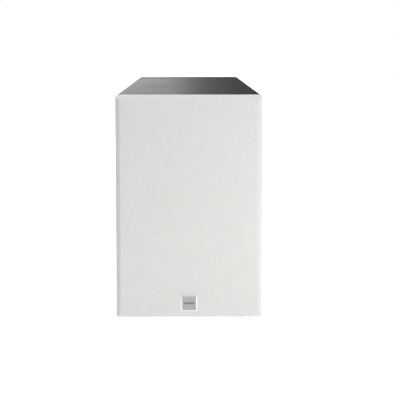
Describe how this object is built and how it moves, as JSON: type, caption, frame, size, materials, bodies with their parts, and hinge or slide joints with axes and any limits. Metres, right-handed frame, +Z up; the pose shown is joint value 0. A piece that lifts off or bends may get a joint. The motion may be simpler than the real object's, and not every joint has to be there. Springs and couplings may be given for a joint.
{
  "type": "bookshelf speaker",
  "caption": "Upright speaker box that tapers to the back, with a pull-off pale cloth front over a woofer and a dome tweeter, a rear port and screw terminals.",
  "frame": {"origin": "on the standing surface, under the middle of the outer box", "axes": "+Z up, the grille faces -Y, +X to the right seen from the front"},
  "size_m": [0.185, 0.205, 0.2858],
  "materials": {
    "lacquer": "satin dark grey lacquer on fibreboard",
    "baffle_paint": "matt black paint on fibreboard",
    "raw_board": "raw fibreboard",
    "foot_rubber": "soft matt rubber",
    "insert_brass": "turned",
    "felt": "needled polyester felt",
    "frame_plastic": "fine moulded grain",
    "grille_weave": "fine woven acoustic cloth, pale grey",
    "peg_plastic": "moulded",
    "socket_rubber": "moulded",
    "badge_metal": "brushed",
    "basket_steel": "satin black powder coat",
    "surround_rubber": "satin",
    "clamp_plastic": "satin",
    "cone_paper": "pressed pulp with fibres",
    "cap_paper": "pressed and lightly coated",
    "former_aluminium": "thin rolled foil",
    "winding_copper": "enamelled copper wire",
    "spider_cloth": "resin-treated woven cotton",
    "zinc_steel": "zinc plated",
    "ferrite": "ground ferrite",
    "tab_board": "phenolic board with tinned tabs",
    "tinsel": "braided copper tinsel",
    "screw_steel": "black oxide",
    "gasket_foam": "closed-cell foam",
    "faceplate_plastic": "satin moulded",
    "dome_silk": "coated silk",
    "rear_cup_plastic": "moulded",
    "port_plastic": "satin moulded",
    "cup_plastic": "fine moulded grain",
    "gold_brass": "gold plated",
    "black_plastic": "polished",
    "red_plastic": "polished",
    "circuit_board": "solder-resist coated glass fibre",
    "film_plastic": "wrapped film",
    "cement": "cement block",
    "sleeve_vinyl": "soft vinyl sleeve",
    "tab_tin": "tinned",
    "wire_red": "vinyl insulation",
    "wire_black": "vinyl insulation"
  },
  "bodies": {
    "cabinet": {"cabinet_top": "lacquer", "cabinet_bottom": "lacquer", "cabinet_side_left": "lacquer", "cabinet_side_right": "lacquer", "cabinet_back": "baffle_paint", "front_baffle": "baffle_paint", "baffle_cleats": "raw_board", "cabinet_brace": "raw_board", "rubber_feet": "foot_rubber", "rear_inserts": "insert_brass", "damping_pads": "felt", "grille_sockets": "socket_rubber", "woofer_basket": "basket_steel", "woofer_surround": "surround_rubber", "woofer_clamp_ring": "clamp_plastic", "woofer_spider": "spider_cloth", "woofer_top_plate": "zinc_steel", "woofer_magnet": "ferrite", "woofer_pole_yoke": "zinc_steel", "woofer_tinsel_leads": "tinsel", "driver_screws": "screw_steel", "driver_gaskets": "gasket_foam", "driver_terminals": "tab_board", "tweeter_faceplate": "faceplate_plastic", "tweeter_surround": "dome_silk", "tweeter_top_plate": "zinc_steel", "tweeter_magnet": "ferrite", "tweeter_pole_yoke": "zinc_steel", "tweeter_rear_cup": "rear_cup_plastic", "port_tube": "port_plastic", "terminal_cup": "cup_plastic", "terminal_screws": "screw_steel", "terminal_gasket": "gasket_foam", "post_studs": "gold_brass", "post_base_black": "black_plastic", "post_base_red": "red_plastic", "post_hex_nuts": "gold_brass", "crossover_board": "circuit_board", "crossover_mounts": "zinc_steel", "crossover_tabs": "tab_tin", "crossover_coils": "winding_copper", "crossover_capacitors": "film_plastic", "crossover_resistors": "cement", "wire_connectors": "sleeve_vinyl", "wiring_red": "wire_red", "wiring_black": "wire_black"},
    "grille": {"grille_frame": "frame_plastic", "grille_cloth": "grille_weave", "grille_pegs": "peg_plastic", "badge": "badge_metal"},
    "woofer_moving_parts": {"woofer_cone": "cone_paper", "woofer_dust_cap": "cap_paper", "woofer_coil_former": "former_aluminium", "woofer_winding": "winding_copper"},
    "tweeter_moving_parts": {"tweeter_dome": "dome_silk", "tweeter_voice_coil": "winding_copper"},
    "black_washer": {"post_washer_black": "gold_brass"},
    "black_nut": {"post_nut_black": "black_plastic"},
    "red_washer": {"post_washer_red": "gold_brass"},
    "red_nut": {"post_nut_red": "red_plastic"}
  },
  "joints": [
    {"name": "grille_pull", "type": "slide", "parent": "cabinet", "child": "grille", "axis": [0, -1, 0], "range_m": [0, 0.12]},
    {"name": "woofer_cone_travel", "type": "slide", "parent": "cabinet", "child": "woofer_moving_parts", "axis": [0, -1, 0], "range_m": [-0.005, 0.005], "stiffness_N_per_m": 1000, "deforming": ["woofer_surround", "woofer_spider", "woofer_tinsel_leads"]},
    {"name": "tweeter_dome_travel", "type": "slide", "parent": "cabinet", "child": "tweeter_moving_parts", "axis": [0, -1, 0], "range_m": [-0.0004, 0.0004], "stiffness_N_per_m": 5000, "deforming": ["tweeter_surround"]},
    {"name": "black_washer_slide", "type": "slide", "parent": "cabinet", "child": "black_washer", "axis": [0, 1, 0], "range_m": [0, 0.005]},
    {"name": "black_nut_turn", "type": "hinge", "parent": "black_washer", "child": "black_nut", "pos_m": [-0.00953, 0.0845, 0.066], "axis": [0, 1, 0], "range_deg": [0, 1810]},
    {"name": "red_washer_slide", "type": "slide", "parent": "cabinet", "child": "red_washer", "axis": [0, 1, 0], "range_m": [0, 0.005]},
    {"name": "red_nut_turn", "type": "hinge", "parent": "red_washer", "child": "red_nut", "pos_m": [0.00953, 0.0845, 0.066], "axis": [0, 1, 0], "range_deg": [0, 1810]}
  ],
  "couplings": [
    {"joint": "black_nut_turn", "follows": "black_washer_slide", "rad_per_m": 6283.2},
    {"joint": "red_nut_turn", "follows": "red_washer_slide", "rad_per_m": 6283.2}
  ]
}
